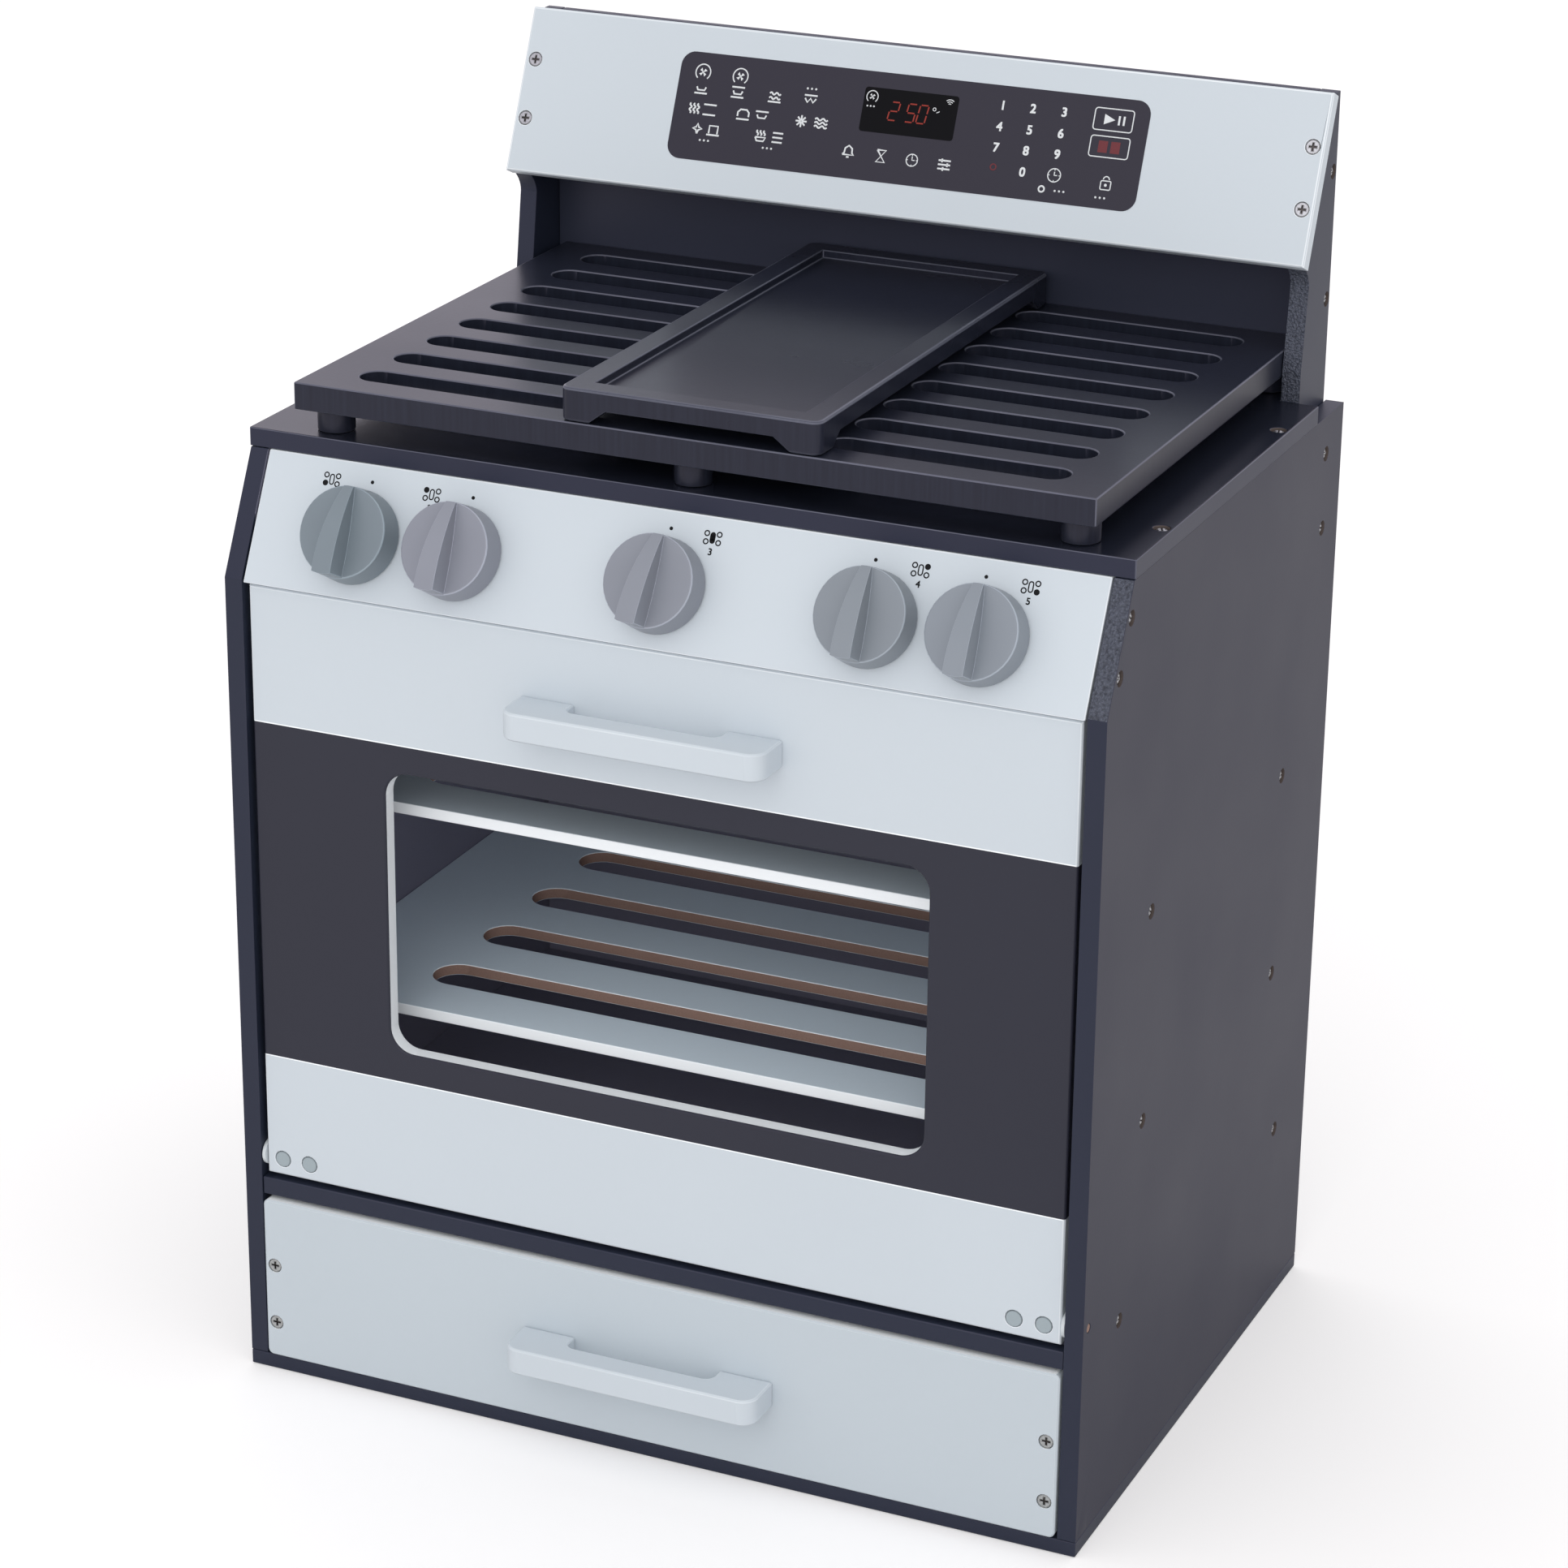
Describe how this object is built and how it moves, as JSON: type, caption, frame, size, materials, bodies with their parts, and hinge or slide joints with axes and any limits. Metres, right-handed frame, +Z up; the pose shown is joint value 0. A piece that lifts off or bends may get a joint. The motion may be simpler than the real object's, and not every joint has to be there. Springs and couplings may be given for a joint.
{
  "type": "toy oven",
  "caption": "Free-standing wooden play range with a drop-down oven door, a drawer, turning knobs, a slotted hob grate with a loose griddle and a leaning display panel.",
  "frame": {"origin": "middle of the bounding box, on the floor under the base board", "axes": "+Z up, front towards -Y, +X to the right as seen from the front"},
  "size_m": [0.431, 0.341, 0.6129],
  "materials": {
    "dark_board": "satin dark blue-grey paint on fibreboard",
    "pale_board": "satin pale blue-grey paint on fibreboard",
    "drawer_board": "bare plywood, lightly sanded",
    "knob_plastic": "moulded, fine satin",
    "small_plastic": "moulded, satin",
    "printed_overlay": "printed sheet, satin",
    "fixing_steel": "zinc-plated"
  },
  "bodies": {
    "root": {"base_board": "dark_board", "left_side_panel": "dark_board", "right_side_panel": "dark_board", "top_board": "dark_board", "divider_board": "dark_board", "cabinet_back": "dark_board", "lower_rack": "pale_board", "upper_rack": "pale_board", "control_panel": "pale_board", "hinge_pin_left": "fixing_steel", "hinge_pin_right": "fixing_steel", "hinge_washer_left": "small_plastic", "hinge_washer_right": "small_plastic", "magnet_catch": "small_plastic", "hob_grate": "dark_board", "grate_foot_1": "dark_board", "grate_foot_2": "dark_board", "grate_foot_3": "dark_board", "grate_foot_4": "dark_board", "grate_foot_5": "dark_board", "grate_foot_6": "dark_board", "splash_bracket_left": "dark_board", "splash_bracket_right": "dark_board", "splash_back": "dark_board", "display_panel": "pale_board", "display_overlay": "printed_overlay", "display_screw_1": "fixing_steel", "display_screw_2": "fixing_steel", "display_screw_3": "fixing_steel", "display_screw_4": "fixing_steel"},
    "door": {"oven_door": "pale_board", "door_handle": "pale_board", "hinge_cap_left_1": "small_plastic", "hinge_cap_left_2": "small_plastic", "hinge_cap_right_1": "small_plastic", "hinge_cap_right_2": "small_plastic", "strike_plate": "fixing_steel"},
    "drawer": {"drawer_front": "pale_board", "drawer_handle": "pale_board", "drawer_side_left": "drawer_board", "drawer_side_right": "drawer_board", "drawer_back": "drawer_board", "drawer_bottom": "drawer_board", "drawer_screw_1": "fixing_steel", "drawer_screw_2": "fixing_steel", "drawer_screw_3": "fixing_steel", "drawer_screw_4": "fixing_steel"},
    "griddle_plate": {"griddle": "dark_board"},
    "dial_1": {"knob_1": "knob_plastic", "knob_spindle_1": "fixing_steel"},
    "dial_2": {"knob_2": "knob_plastic", "knob_spindle_2": "fixing_steel"},
    "dial_3": {"knob_3": "knob_plastic", "knob_spindle_3": "fixing_steel"},
    "dial_4": {"knob_4": "knob_plastic", "knob_spindle_4": "fixing_steel"},
    "dial_5": {"knob_5": "knob_plastic", "knob_spindle_5": "fixing_steel"}
  },
  "joints": [
    {"name": "door_hinge", "type": "hinge", "parent": "root", "child": "door", "pos_m": [0, -0.139, 0.1145], "axis": [1, 0, 0], "range_deg": [0, 90]},
    {"name": "drawer_slide", "type": "slide", "parent": "root", "child": "drawer", "axis": [0, -1, 0], "range_m": [0, 0.2]},
    {"name": "griddle_lift", "type": "slide", "parent": "root", "child": "griddle_plate", "axis": [0, 0, 1], "range_m": [0, 0.02]},
    {"name": "knob_1_turn", "type": "hinge", "parent": "root", "child": "dial_1", "pos_m": [-0.1524, -0.1333, 0.43071], "axis": [0, -0.8941, 0.4479], "continuous": true},
    {"name": "knob_2_turn", "type": "hinge", "parent": "root", "child": "dial_2", "pos_m": [-0.1006, -0.1333, 0.43071], "axis": [0, -0.8941, 0.4479], "continuous": true},
    {"name": "knob_3_turn", "type": "hinge", "parent": "root", "child": "dial_3", "pos_m": [0, -0.1333, 0.43071], "axis": [0, -0.8941, 0.4479], "continuous": true},
    {"name": "knob_4_turn", "type": "hinge", "parent": "root", "child": "dial_4", "pos_m": [0.1006, -0.1333, 0.43071], "axis": [0, -0.8941, 0.4479], "continuous": true},
    {"name": "knob_5_turn", "type": "hinge", "parent": "root", "child": "dial_5", "pos_m": [0.1524, -0.1333, 0.43071], "axis": [0, -0.8941, 0.4479], "continuous": true}
  ]
}
